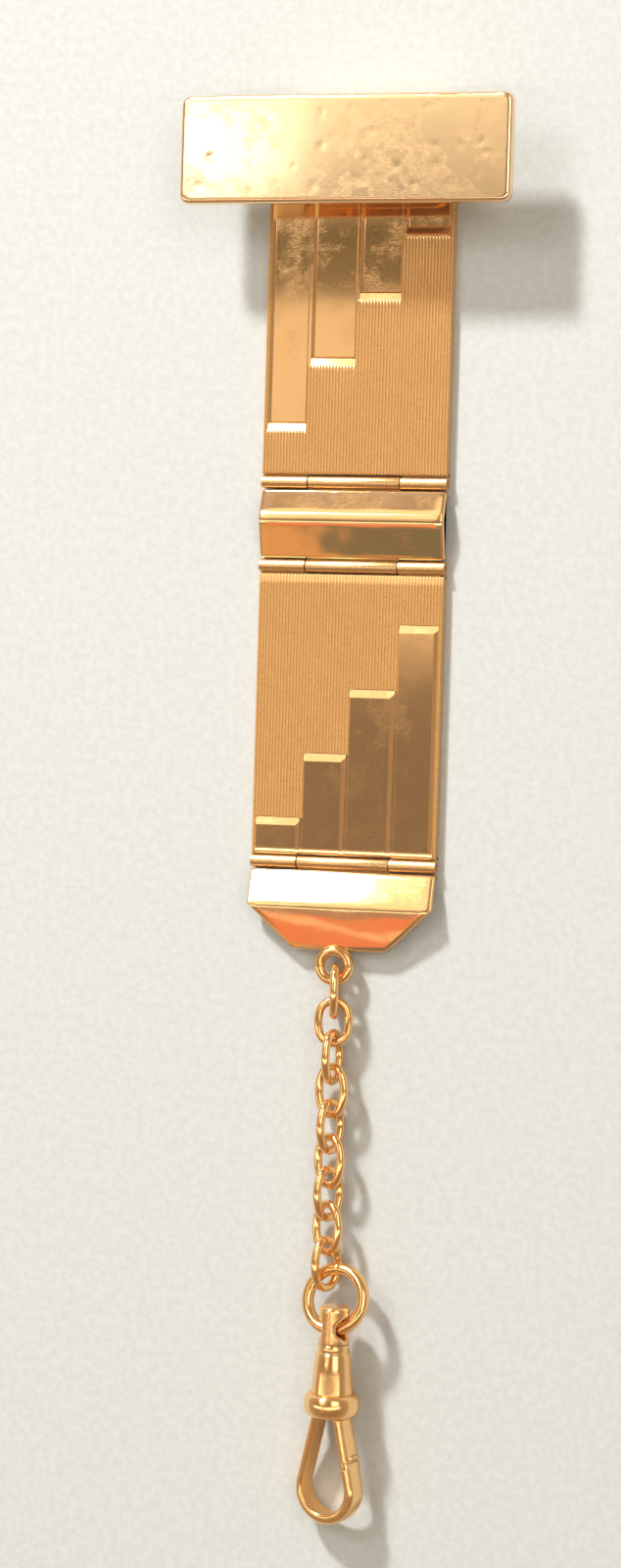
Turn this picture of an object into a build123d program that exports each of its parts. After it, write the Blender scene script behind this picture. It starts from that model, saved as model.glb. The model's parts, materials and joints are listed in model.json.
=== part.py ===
from build123d import *
import os
from math import acos, asin, atan2, cos, degrees, radians, sin, sqrt

os.makedirs("parts", exist_ok=True)

# A gentleman's watch chain: a bar-fronted belt clip, a hinged strap of two engraved panels, a bent
# middle link and a bent end cap, then a short trace chain, a jump ring and a sprung swivel hook.
# It lies flat on its back.  Millimetres; +Z up from the table, +Y towards the belt clip.

# ------------------------------------------------------------------ driving dimensions: strap
strap_width = 18.0
hinge_a_y = 30.79            # hinge between the upper panel and the middle link
panel_length = 27.6          # hinge axis to hinge axis
middle_length = 7.8          # hinge axis to hinge axis
cap_length = 8.1             # hinge axis to the bottom edge
face_top = 1.0               # outer face of a panel above the table
face_sheet = 0.3             # sheet of the panel faces
back_sheet = 0.45            # back plates and hinge necks
plate_setback = 0.9          # from a hinge axis to the plates on each side of it

# ------------------------------------------------------------------ hinges
hinge_z = 0.6
knuckle_radius = 0.6
knuckle_split = 4.5          # half width of the middle knuckle's place
knuckle_gap = 0.05           # clearance on each side of a knuckle's end
pin_radius = 0.3
pin_clearance = 0.05         # between a pin and the middle knuckle
pin_length = 17.8

# ------------------------------------------------------------------ panel decoration
column_lines = (4.8, 9.1, 13.7)   # lines between the four steps, from the shortest step's edge
column_rise = 6.05                # each step is this much taller than the last
line_width = 0.3
edge_margin = 0.25
ground_depth = 0.08               # ribbed ground below the polished steps
upper_first_step = 4.7            # shortest step, from its hinge axis
lower_first_step = 4.1

# ------------------------------------------------------------------ middle link and end cap
bent_sheet = 0.5
ridge_height = 1.95
middle_ridge = 3.35          # ridge, from the upper hinge axis
cap_ridge = 4.0              # ridge, from the hinge axis
cap_edge_height = 1.4
cap_edge_width = 9.1
cap_lip_bottom = 0.5

# ------------------------------------------------------------------ belt clip
bar_width = 31.8
bar_height = 10.0
bar_bottom_y = 25.2          # lower edge of the bar above hinge A
bar_front = 7.05             # front face above the table
bar_depth = 1.1
bar_sheet = 0.3
bar_corner = 0.9
bar_edge = 0.35
bar_back_sheet = 0.35
spring_width = 14.0
spring_sheet = 0.5
spring_bend = 1.6
spring_top_inset = 0.4       # top of the bend below the bar's upper edge
spring_leg_inset = 0.8       # end of the front leg above the bar's lower edge
spring_corner = 1.5

# ------------------------------------------------------------------ chain
end_ring_diameter = 3.8
end_ring_wire = 0.95
end_ring_drop = 1.4          # centre below the cap's bottom edge
end_ring_x = -0.3
end_ring_z = 1.56            # it stands a little proud of the cap's bottom edge
chain_x = -0.1
chain_z = 1.84
link_wire = 0.8
link_length = 5.3
link_width = 3.65
link_end_radius = 1.2
short_link_length = 4.75     # the second link is a rounder one
short_link_end_radius = 1.35
link_drops = (2.35, 2.85, 3.25, 3.15, 3.3, 3.25, 3.0, 3.25, 3.3)   # centre to centre, a little slack
link_rolls = (74, -12, -80, 18, -66, 25, -60, 27, -60)             # turn about the chain's line

# ------------------------------------------------------------------ jump ring
jump_diameter = 6.9
jump_wire = 1.15
jump_x = 1.1
jump_drop = 3.15             # centre below the last link's centre
jump_roll = 10.0
jump_seam = 0.05

# ------------------------------------------------------------------ swivel
swivel_x = 1.25
swivel_tilt = 4.5            # hook end lower than the head, so collar and hook both touch the table
swivel_yaw = -1.5
hook_roll = 15.0             # turn of the hook's plane about the swivel axis
head_radius = 1.45
head_top = 3.5
head_hole_y = 1.2            # lower end of the cross slot that the jump ring passes through
head_hole_top = 1.75
head_hole_radius = 0.78
head_hole_round = 0.3        # rounded mouths, so that the ring can swing
head_edge = 0.3
stem_radius = 0.8
stem_clearance = 0.05
button_radius = 1.2
button_thickness = 0.5
barrel_wall = 0.8            # top wall that the stem turns in
barrel_bore = 1.4
lip_radius = 1.5
lip_height = 0.72
lip_step = 0.1               # short slope under the lip
cone_top_radius = 1.62
cone_bottom_radius = 2.02
barrel_length = 4.65
collar_radius = 2.63
collar_height = 2.1
collar_round = 0.95
root_height = 2.9            # hook root inside the collar and the barrel

# ------------------------------------------------------------------ hook and gate
hook_depth = 2.2
hook_band = 0.85
opening_shift = -0.12        # the opening lies off centre, so the gate side is the stouter one
hook_radius = 3.18           # outer radius of the bottom bow
hook_drop = 7.1              # bow centre below the collar
hook_root_half = 1.65
hook_edge = 0.28
gate_end = 4.1               # end of the gate below the collar
gate_lap = 0.5               # inner half runs on behind the hook's tip
gate_fit = 0.03
gate_top_gap = 0.12
tongue_half = 0.5            # half thickness of the gate's tongue
slot_half = 0.55
slot_left = -0.5
pivot_u = 0.5
pivot_rise = 0.9             # pivot above the collar's underside
pivot_radius = 0.25
heel_left = -0.3
heel_right = 0.15
heel_rise = 2.5
tongue_outline = ((0.72, -1.1), (1.05, -0.6), (0.95, 0.2), (0.85, 1.15), (heel_right, 1.6),
                  (heel_right, heel_rise), (heel_left, heel_rise), (heel_left, 1.3), (0.1, 0.6),
                  (0.35, -0.6))
nub_length = 1.3             # thumb nub across the gate's lower end
nub_size = 0.36
nub_rise = 0.4               # above the gate's end
nub_proud = 0.1
pin_inset = 0.02             # ends of the gate pin below the root's surface

# ------------------------------------------------------------------ gate spring
blade_eye_u = 1.12
blade_eye_rise = 4.9
blade_eye_radius = 0.2
blade_tip_u = 0.27
blade_tip_rise = 2.4
blade_thickness = 0.15
blade_half_width = 0.35

# ------------------------------------------------------------------ places worked out from them
half_width = strap_width / 2
hinge_d_y = hinge_a_y + panel_length
hinge_b_y = hinge_a_y - middle_length
hinge_c_y = hinge_b_y - panel_length
cap_bottom_y = hinge_c_y - cap_length
bar_low = hinge_a_y + bar_bottom_y
bar_high = bar_low + bar_height
bar_back_z = bar_front - bar_depth
end_ring_y = cap_bottom_y - end_ring_drop
link_count = len(link_rolls)
beyond = 20.0                # longer than anything that it cuts
over = 1.0                   # a cut runs this far past a face
near = 0.01                  # tolerance for picking edges by place
table_gap = 0.01             # clearance of the swivel's lowest points


def block(x0, x1, y0, y1, z0, z1):
    """A box between two corners."""
    size = Box(x1 - x0, y1 - y0, z1 - z0)
    return Pos((x0 + x1) / 2, (y0 + y1) / 2, (z0 + z1) / 2) * size


def rod_x(x0, x1, y, z, radius):
    """A round rod along X."""
    return Pos((x0 + x1) / 2, y, z) * Rot(0, 90, 0) * Cylinder(radius, x1 - x0)


def prism_x(points, x0, x1):
    """A (y, z) outline extruded along X."""
    return extrude(Plane.YZ.offset(x0) * Polygon(*points, align=None), amount=x1 - x0, dir=(1, 0, 0))


# ================================================================== hinges
def hinge_pin(axis_y):
    """A plain pin through all three knuckles."""
    return rod_x(-pin_length / 2, pin_length / 2, axis_y, hinge_z, pin_radius)


def outer_knuckles(axis_y, inward):
    """The two side knuckles of a panel; inward is the direction of its plate, +1 or -1."""
    inner_x = knuckle_split + knuckle_gap
    edge_y = axis_y + inward * plate_setback
    pair = None
    for side in (-1, 1):
        x0, x1 = sorted((side * inner_x, side * half_width))
        roll = rod_x(x0, x1, axis_y, hinge_z, knuckle_radius)
        neck = block(x0, x1, min(axis_y, edge_y), max(axis_y, edge_y), 0, back_sheet)
        knuckle = (roll + neck) - rod_x(x0 - over, x1 + over, axis_y, hinge_z, pin_radius)
        pair = knuckle if pair is None else pair + knuckle
    return pair


def middle_knuckle(axis_y, inward):
    """The wide centre knuckle, free to turn on the pin."""
    x1 = knuckle_split - knuckle_gap
    edge_y = axis_y + inward * plate_setback
    roll = rod_x(-x1, x1, axis_y, hinge_z, knuckle_radius)
    neck = block(-x1, x1, min(axis_y, edge_y), max(axis_y, edge_y), 0, back_sheet)
    bore = rod_x(-half_width, half_width, axis_y, hinge_z, pin_radius + pin_clearance)
    return (roll + neck) - bore


# ================================================================== strap panels
def panel_back(lower_axis):
    """Back plate with a pair of rolled knuckles at each end."""
    upper_axis = lower_axis + panel_length
    inside = half_width - face_sheet
    plate = block(-inside, inside, lower_axis + plate_setback, upper_axis - plate_setback, 0, back_sheet)
    return plate + outer_knuckles(lower_axis, 1) + outer_knuckles(upper_axis, -1)


def step_columns(lower_axis, first_step):
    """Solids that stand over the four polished steps, shortest at -X, rising from the lower hinge."""
    edges = (edge_margin, *column_lines, strap_width - edge_margin)
    columns = []
    for index in range(len(edges) - 1):
        left = edges[index] - half_width + line_width / 2
        right = edges[index + 1] - half_width - line_width / 2
        top = lower_axis + first_step + index * column_rise
        columns.append(block(left, right, lower_axis, top, face_top - ground_depth, face_top + over))
    return columns


def panel_face(lower_axis, first_step):
    """Channel of thin sheet over the back plate, with its stepped columns standing proud."""
    y0 = lower_axis + plate_setback
    y1 = lower_axis + panel_length - plate_setback
    inside = half_width - face_sheet
    shell = block(-half_width, half_width, y0, y1, 0, face_top)
    shell -= block(-inside, inside, y0 - over, y1 + over, -over, face_top - face_sheet)
    ground = block(-half_width, half_width, y0, y1, face_top - ground_depth, face_top + over)
    for column in step_columns(lower_axis, first_step):
        ground -= column
    return shell - ground


def upper_panel_face():
    """The upper panel carries the same pattern turned half round, rising down from hinge D."""
    half_turn = Pos(0, hinge_a_y + hinge_d_y, 0) * Rot(0, 0, 180)
    return half_turn * panel_face(hinge_a_y, upper_first_step)


# ================================================================== bent pieces of the strap
def middle_link():
    """A sheet bent to a ridge between hinges A and B, with its ends turned down."""
    top = hinge_a_y - plate_setback
    low = hinge_b_y + plate_setback
    ridge = hinge_a_y - middle_ridge
    under = face_top - bent_sheet
    outline = [(top, 0), (top, face_top), (ridge, ridge_height), (low, face_top), (low, 0)]
    outline += [(low + bent_sheet, 0), (low + bent_sheet, under)]
    outline += [(ridge, ridge_height - bent_sheet), (top - bent_sheet, under), (top - bent_sheet, 0)]
    sheet = prism_x(outline, -half_width, half_width)
    return sheet + middle_knuckle(hinge_a_y, -1) + middle_knuckle(hinge_b_y, 1)


def end_ring():
    """Closed eye soldered into the end cap's bottom edge."""
    ring = Torus((end_ring_diameter - end_ring_wire) / 2, end_ring_wire / 2)
    return Pos(end_ring_x, end_ring_y, end_ring_z) * ring


def end_cap():
    """A sheet bent to a ridge below hinge C, its lower corners cut away to a short edge."""
    top = hinge_c_y - plate_setback
    ridge = hinge_c_y - cap_ridge
    low = cap_bottom_y
    outline = [(top, 0), (top, face_top), (ridge, ridge_height), (low, cap_edge_height)]
    outline += [(low, cap_lip_bottom), (low + bent_sheet, cap_lip_bottom)]
    outline += [(low + bent_sheet, cap_edge_height - bent_sheet)]
    outline += [(ridge, ridge_height - bent_sheet)]
    outline += [(top - bent_sheet, face_top - bent_sheet), (top - bent_sheet, 0)]
    sheet = prism_x(outline, -half_width, half_width)
    plan = [(-half_width, top), (half_width, top), (half_width, ridge)]
    plan += [(cap_edge_width / 2, low), (-cap_edge_width / 2, low), (-half_width, ridge)]
    sheet &= extrude(Polygon(*plan, align=None), amount=ridge_height, dir=(0, 0, 1))
    return (sheet + middle_knuckle(hinge_c_y, -1)) - end_ring()


# ================================================================== belt clip
def bar_front_shell():
    """Pressed front of the clip: a shallow box with rounded corners, open at the back."""
    middle = (bar_low + bar_high) / 2
    body = extrude(RectangleRounded(bar_width, bar_height, bar_corner), amount=bar_depth)
    body = fillet(body.edges().group_by(Axis.Z)[-1], bar_edge)
    inner_corner = bar_corner - bar_sheet
    hollow = RectangleRounded(bar_width - 2 * bar_sheet, bar_height - 2 * bar_sheet, inner_corner)
    body -= extrude(hollow, amount=bar_depth - bar_sheet)
    return Pos(0, middle, bar_back_z) * body


def bar_back_plate():
    """Plate let into the back of the bar, flush with its rim."""
    middle = (bar_low + bar_high) / 2
    inner_corner = bar_corner - bar_sheet
    plate = RectangleRounded(bar_width - 2 * bar_sheet, bar_height - 2 * bar_sheet, inner_corner)
    return Pos(0, middle, bar_back_z) * extrude(plate, amount=bar_back_sheet)


def clip_spring():
    """Strip bent to a U over the belt: front leg on the bar's back, back leaf down to hinge D."""
    leg_end = bar_low + spring_leg_inset
    top = bar_high - spring_top_inset
    half = spring_width / 2
    outer = block(-half, half, leg_end, top, 0, bar_back_z)
    outer = fillet(outer.edges().filter_by(Axis.X).group_by(Axis.Y)[-1], spring_bend)
    outer = fillet(outer.edges().filter_by(Axis.Z).group_by(Axis.Y)[0], spring_corner)
    left = -half - over
    right = half + over
    low = leg_end - over
    cavity = block(left, right, low, top - spring_sheet, spring_sheet, bar_back_z - spring_sheet)
    cavity = fillet(cavity.edges().filter_by(Axis.X).group_by(Axis.Y)[-1], spring_bend - spring_sheet)
    strip = outer - cavity
    strip -= block(left, right, low, hinge_d_y + plate_setback, -over, bar_back_z / 2)
    return strip + middle_knuckle(hinge_d_y, 1)


# ================================================================== chain
def oval_link(length, width, wire, end_radius):
    """A wire link whose centre line is four tangent arcs, long way along Y, lying in XY."""
    a = (length - wire) / 2
    b = (width - wire) / 2
    side_radius = (a * a + b * b - 2 * a * end_radius) / (2 * (b - end_radius))
    turn = atan2(a - end_radius, side_radius - b)
    join_x = side_radius * cos(turn) - (side_radius - b)
    join_y = side_radius * sin(turn)
    right = ThreePointArc((join_x, -join_y), (b, 0), (join_x, join_y))
    top = ThreePointArc((join_x, join_y), (0, a), (-join_x, join_y))
    left = ThreePointArc((-join_x, join_y), (-b, 0), (-join_x, -join_y))
    bottom = ThreePointArc((-join_x, -join_y), (0, -a), (join_x, -join_y))
    path = Wire([right, top, left, bottom])
    section = Plane(origin=right @ 0, z_dir=right % 0) * Circle(wire / 2)
    return sweep(section, path=path)


def link_centre(index):
    """Centre of a link, counted from the strap."""
    return Vector(chain_x, end_ring_y - sum(link_drops[:index + 1]), chain_z)


def chain_link(index):
    """One link in its place, rolled about the chain's line."""
    short = index == 1
    length = short_link_length if short else link_length
    end_radius = short_link_end_radius if short else link_end_radius
    shape = oval_link(length, link_width, link_wire, end_radius)
    return Pos(link_centre(index)) * Rot(0, -link_rolls[index], 0) * shape


# ================================================================== jump ring and swivel places
ring_radius = (jump_diameter - jump_wire) / 2
swivel_z = collar_radius + (barrel_length + collar_height / 2) * sin(radians(swivel_tilt)) + table_gap
hole_z = swivel_z + head_hole_y * sin(radians(swivel_tilt))
jump_z = (chain_z + hole_z) / 2
jump_pitch = degrees(asin((hole_z - jump_z) / ring_radius))   # the swivel's side of it is the higher
jump_y = link_centre(link_count - 1).Y - jump_drop
hole_y = jump_y - ring_radius * cos(radians(jump_pitch))
swivel_y = hole_y - head_hole_y * cos(radians(swivel_tilt))
collar_under = -barrel_length - collar_height   # underside of the collar on the swivel's own axis


def jump_ring():
    """Cut ring between the last link and the swivel's head, its ends butted together."""
    ring = Torus(ring_radius, jump_wire / 2)
    ring -= Pos(0, ring_radius, 0) * Box(jump_seam, jump_wire * 2, jump_wire * 2)
    return Pos(jump_x, jump_y, jump_z) * Rot(-jump_pitch, 0, 0) * Rot(0, -jump_roll, 0) * ring


# ================================================================== swivel, built down its own -Y
def swivel_frame():
    """The barrel's top face, with its axis running down to the hook."""
    return Pos(swivel_x, swivel_y, swivel_z) * Rot(swivel_tilt, 0, 0) * Rot(0, 0, swivel_yaw)


def swivel_head():
    """Post with a cross hole for the jump ring, on a stem with a peened button."""
    post = Pos(0, (head_top + stem_clearance) / 2, 0) * Rot(90, 0, 0) * Cylinder(
        head_radius, head_top - stem_clearance)
    post = fillet(post.edges().group_by(Axis.Y)[-1], head_edge)
    hole = Rot(0, 90, 0) * Cylinder(head_hole_radius, beyond)
    post -= Pos(0, head_hole_y, 0) * hole
    post -= Pos(0, head_hole_top, 0) * hole
    post -= block(-beyond, beyond, head_hole_y, head_hole_top, -head_hole_radius, head_hole_radius)
    slot_middle = (head_hole_y + head_hole_top) / 2
    level = [e for e in post.edges() if abs(e.center().Y - slot_middle) < near]
    sides = [e for e in level if abs(e.center().X) > head_radius / 2]
    mouths = sides + post.edges().filter_by(GeomType.BSPLINE)
    post = fillet(mouths, head_hole_round)
    stem_bottom = -barrel_wall - stem_clearance
    stem = Pos(0, (stem_clearance + stem_bottom) / 2, 0) * Rot(90, 0, 0) * Cylinder(
        stem_radius, stem_clearance - stem_bottom)
    button = Pos(0, stem_bottom - button_thickness / 2, 0) * Rot(90, 0, 0) * Cylinder(
        button_radius, button_thickness)
    return swivel_frame() * Rot(0, -jump_roll, 0) * (post + stem + button)


def swivel_barrel():
    """Hollow cone with a lip at its mouth; the head's stem turns in its top wall."""
    hole = stem_radius + stem_clearance
    profile = [(hole, 0), (lip_radius, 0), (lip_radius, -lip_height)]
    profile += [(cone_top_radius, -lip_height - lip_step)]
    profile += [(cone_bottom_radius, -barrel_length), (barrel_bore, -barrel_length)]
    profile += [(barrel_bore, -barrel_wall), (hole, -barrel_wall)]
    return swivel_frame() * revolve(Polygon(*profile, align=None), axis=Axis.Y)


def swivel_collar():
    """Rounded ring where the barrel meets the hook."""
    ring = Rot(90, 0, 0) * (Cylinder(collar_radius, collar_height) - Cylinder(barrel_bore, collar_height))
    outer = [e for e in ring.edges().filter_by(GeomType.CIRCLE) if e.radius > barrel_bore + near]
    ring = fillet(outer, collar_round)
    return swivel_frame() * Pos(0, -barrel_length - collar_height / 2, 0) * ring


def side_normal(root_half, radius):
    """Angle of the straight side's outward normal above the local +X."""
    reach = sqrt(root_half ** 2 + hook_drop ** 2)
    return atan2(hook_drop, root_half) - acos(radius / reach)


def teardrop(root_half, radius):
    """Outline below the collar: two straight sides from the root, tangent to the bottom bow."""
    angle = side_normal(root_half, radius)
    side = (radius * cos(angle), -hook_drop + radius * sin(angle))
    right = Line((root_half, 0), side)
    bow = ThreePointArc(side, (0, -hook_drop - radius), (-side[0], side[1]))
    left = Line((-side[0], side[1]), (-root_half, 0))
    return make_face(Wire([right, bow, left, Line((-root_half, 0), (root_half, 0))]))


def side_shift(inset):
    """How far the root edge moves in when the outline is inset."""
    return inset / cos(side_normal(hook_root_half, hook_radius))


def hook_solid(root_half, radius):
    """A teardrop extruded to the hook's depth, both ways from the middle plane."""
    return extrude(teardrop(root_half, radius), amount=hook_depth / 2, both=True)


def hook_band_solid():
    """The whole bow: teardrop outline less the opening, edges rounded."""
    outer = hook_solid(hook_root_half, hook_radius)
    rims = outer.faces().filter_by(Axis.Z)
    edges = [e for rim in rims for e in rim.edges() if e.center().Y < -near]
    outer = fillet(edges, hook_edge)
    opening = hook_solid(hook_root_half - side_shift(hook_band), hook_radius - hook_band)
    return outer - Pos(opening_shift, -opening_shift, 0) * opening


def gate_zone(fit):
    """Region of the bow that belongs to the gate: the right side's upper part with its lap."""
    upper = block(0, beyond, -gate_end - fit, beyond, -beyond, beyond)
    half_band = hook_band / 2 - fit
    lap = hook_solid(hook_root_half - side_shift(half_band), hook_radius - half_band)
    lap &= block(0, beyond, -gate_end - gate_lap - fit, beyond, -beyond, beyond)
    return upper + lap


def hook_frame():
    """Local frame of the hook, at the middle of the collar's underside."""
    return swivel_frame() * Pos(0, collar_under, 0) * Rot(0, -hook_roll, 0)


def swivel_hook():
    """Root plug in the collar, left arm, bottom bow and right tip."""
    bow = hook_band_solid() - gate_zone(gate_fit)
    root = Pos(0, root_height / 2, 0) * Rot(90, 0, 0) * Cylinder(barrel_bore, root_height)
    root -= block(slot_left, beyond, -over, beyond, -slot_half, slot_half)
    root -= Pos(pivot_u, pivot_rise, 0) * Cylinder(pivot_radius, beyond)
    return hook_frame() * (bow + root)


def gate_pin():
    """Pivot of the gate, pressed across the root's slot."""
    half = sqrt(barrel_bore ** 2 - (pivot_u + pivot_radius) ** 2) - pin_inset
    return hook_frame() * Pos(pivot_u, pivot_rise, 0) * Cylinder(pivot_radius, 2 * half)


def gate_lever():
    """Sprung side of the hook: arm with a lap behind the tip, tongue and heel inside the root."""
    arm = hook_band_solid() & gate_zone(-gate_fit)
    arm -= block(-beyond, beyond, -gate_top_gap, beyond, -beyond, beyond)
    plate = extrude(Polygon(*tongue_outline, align=None), amount=tongue_half, both=True)
    nub_y = gate_end - nub_rise
    nub_u = hook_root_half + (hook_radius - hook_root_half) * nub_y / hook_drop + nub_proud
    nub = Pos(nub_u, -nub_y, 0) * Box(nub_size, nub_size, nub_length)
    lever = arm + plate + nub
    lever -= Pos(pivot_u, pivot_rise, 0) * Cylinder(pivot_radius + pin_clearance, beyond)
    return hook_frame() * lever


def gate_spring():
    """Blade in the barrel whose tip bears on the gate's heel; its rolled end sits on the bore."""
    eye = Pos(blade_eye_u, blade_eye_rise, 0) * Cylinder(blade_eye_radius, 2 * blade_half_width)
    run_u = blade_tip_u - blade_eye_u
    run_y = blade_tip_rise - blade_eye_rise
    length = sqrt(run_u ** 2 + run_y ** 2)
    lean = degrees(atan2(run_u, -run_y))
    strip = block(-blade_thickness / 2, blade_thickness / 2, -length, 0, -blade_half_width, blade_half_width)
    blade = Pos(blade_eye_u, blade_eye_rise, 0) * Rot(0, 0, lean) * strip
    return hook_frame() * (eye + blade)


# ================================================================== write every sub-part
pieces = {
    "clip_bar_front": bar_front_shell(),
    "clip_bar_back": bar_back_plate(),
    "clip_spring": clip_spring(),
    "upper_panel_face": upper_panel_face(),
    "upper_panel_back": panel_back(hinge_a_y),
    "hinge_pin_clip": hinge_pin(hinge_d_y),
    "hinge_pin_upper": hinge_pin(hinge_a_y),
    "middle_link": middle_link(),
    "lower_panel_face": panel_face(hinge_c_y, lower_first_step),
    "lower_panel_back": panel_back(hinge_c_y),
    "hinge_pin_middle": hinge_pin(hinge_b_y),
    "hinge_pin_lower": hinge_pin(hinge_c_y),
    "end_cap": end_cap(),
    "end_ring": end_ring(),
    "jump_ring": jump_ring(),
    "swivel_head": swivel_head(),
    "swivel_barrel": swivel_barrel(),
    "swivel_collar": swivel_collar(),
    "swivel_hook": swivel_hook(),
    "gate_lever": gate_lever(),
    "gate_pin": gate_pin(),
    "gate_spring": gate_spring(),
}
for number in range(link_count):
    pieces[f"chain_link_{number + 1:02d}"] = chain_link(number)

for name, shape in pieces.items():
    export_step(shape, f"parts/{name}.step")
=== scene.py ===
import json
from math import asin, atan2, cos, pi, radians, sin, sqrt, tan

import bpy
import numpy as np
from mathutils import Euler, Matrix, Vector


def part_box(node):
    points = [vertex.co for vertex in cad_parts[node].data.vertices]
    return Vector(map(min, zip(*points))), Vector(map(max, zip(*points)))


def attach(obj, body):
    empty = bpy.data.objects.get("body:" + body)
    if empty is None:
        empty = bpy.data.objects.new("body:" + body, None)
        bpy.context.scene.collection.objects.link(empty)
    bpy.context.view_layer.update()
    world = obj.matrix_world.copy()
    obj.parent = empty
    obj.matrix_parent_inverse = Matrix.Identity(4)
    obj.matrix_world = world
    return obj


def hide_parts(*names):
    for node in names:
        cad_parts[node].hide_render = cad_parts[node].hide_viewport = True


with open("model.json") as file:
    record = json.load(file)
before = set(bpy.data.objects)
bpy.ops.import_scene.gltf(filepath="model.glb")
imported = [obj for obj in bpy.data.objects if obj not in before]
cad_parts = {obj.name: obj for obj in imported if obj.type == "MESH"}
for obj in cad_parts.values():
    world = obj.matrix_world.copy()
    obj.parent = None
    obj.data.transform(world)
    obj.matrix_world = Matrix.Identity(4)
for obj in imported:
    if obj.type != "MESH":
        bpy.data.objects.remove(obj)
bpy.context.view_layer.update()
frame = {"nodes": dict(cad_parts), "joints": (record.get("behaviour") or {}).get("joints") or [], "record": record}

MM = 0.001
rng = np.random.default_rng(7)
joints = {j["name"]: j for j in frame["joints"]}


def place(joint):
    """A joint's point in millimetres."""
    return np.array(joints[joint]["pos_m"]) / MM


def node_box(node):
    """A CAD node's lowest and highest corner in millimetres."""
    low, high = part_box(node)
    return np.array(low) / MM, np.array(high) / MM


# ------------------------------------------------------------------ camera
# Fitted to the strap's edges, the hinges and the bar's corners.
CAMERA_PLACE = (0.1200, 0.0112, 0.3798)
CAMERA_TURN = (-0.67, 18.06, 1.79)      # degrees
CAMERA_LENS = 98.2
camera = bpy.data.objects.new("camera", bpy.data.cameras.new("camera"))
bpy.context.scene.collection.objects.link(camera)
camera.location = CAMERA_PLACE
camera.rotation_euler = Euler([radians(turn) for turn in CAMERA_TURN], "XYZ")
camera.data.sensor_width = 36.0
camera.data.lens = CAMERA_LENS
camera.data.clip_start = 0.01
camera.data.clip_end = 20.0
bpy.context.scene.camera = camera


# ------------------------------------------------------------------ node helpers
class Tree:
    """Short-hand for building a node tree."""

    def __init__(self, tree):
        self.tree = tree
        self.nodes = tree.nodes
        self.links = tree.links

    def add(self, kind, inputs=None, **settings):
        node = self.nodes.new(kind)
        for key, value in settings.items():
            setattr(node, key, value)
        for key, value in (inputs or {}).items():
            socket = node.inputs[key]
            if isinstance(value, bpy.types.NodeSocket):
                self.links.new(value, socket)
            else:
                socket.default_value = value
        return node

    def math(self, operation, a, b=0.5, clamp=False):
        return self.add("ShaderNodeMath", {0: a, 1: b}, operation=operation, use_clamp=clamp).outputs[0]

    def ramp(self, value, low, high, to_low=0.0, to_high=1.0, smooth=True):
        kind = "SMOOTHSTEP" if smooth else "LINEAR"
        return self.add("ShaderNodeMapRange", {0: value, 1: low, 2: high, 3: to_low, 4: to_high},
                        interpolation_type=kind).outputs[0]

    def mix(self, factor, a, b, blend="MIX"):
        node = self.nodes.new("ShaderNodeMix")
        node.data_type = "RGBA"
        node.blend_type = blend
        for index, value in ((0, factor), (6, a), (7, b)):
            if isinstance(value, bpy.types.NodeSocket):
                self.links.new(value, node.inputs[index])
            else:
                node.inputs[index].default_value = value if index == 0 else (*value, 1.0)[:4]
        return node.outputs[2]


def band(tree, value, low, high, soft):
    """1 between low and high, falling to 0 over a soft edge outside."""
    up = tree.ramp(value, low - soft, low)
    down = tree.ramp(value, high, high + soft, 1.0, 0.0)
    return tree.math("MULTIPLY", up, down)


# ------------------------------------------------------------------ world: a dim warm room with soft cards
world = bpy.data.worlds.new("studio")
bpy.context.scene.world = world
world.use_nodes = True
w = Tree(world.node_tree)
w.nodes.clear()
ray = w.add("ShaderNodeTexCoord").outputs["Generated"]
axes = w.add("ShaderNodeSeparateXYZ", {0: ray})
rise = w.math("MAXIMUM", axes.outputs[2], 0.04)
across = w.math("DIVIDE", axes.outputs[0], rise)
along = w.math("DIVIDE", axes.outputs[1], rise)


def card(colour, across_range, along_range, tint, soft, along_soft, strength):
    """A soft-edged area of colour, placed by the slopes of the directions towards it."""
    inside = w.math("MULTIPLY", band(w, across, *across_range, soft),
                    band(w, along, *along_range, along_soft))
    return w.mix(w.math("MULTIPLY", inside, strength), colour, tint)


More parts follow.
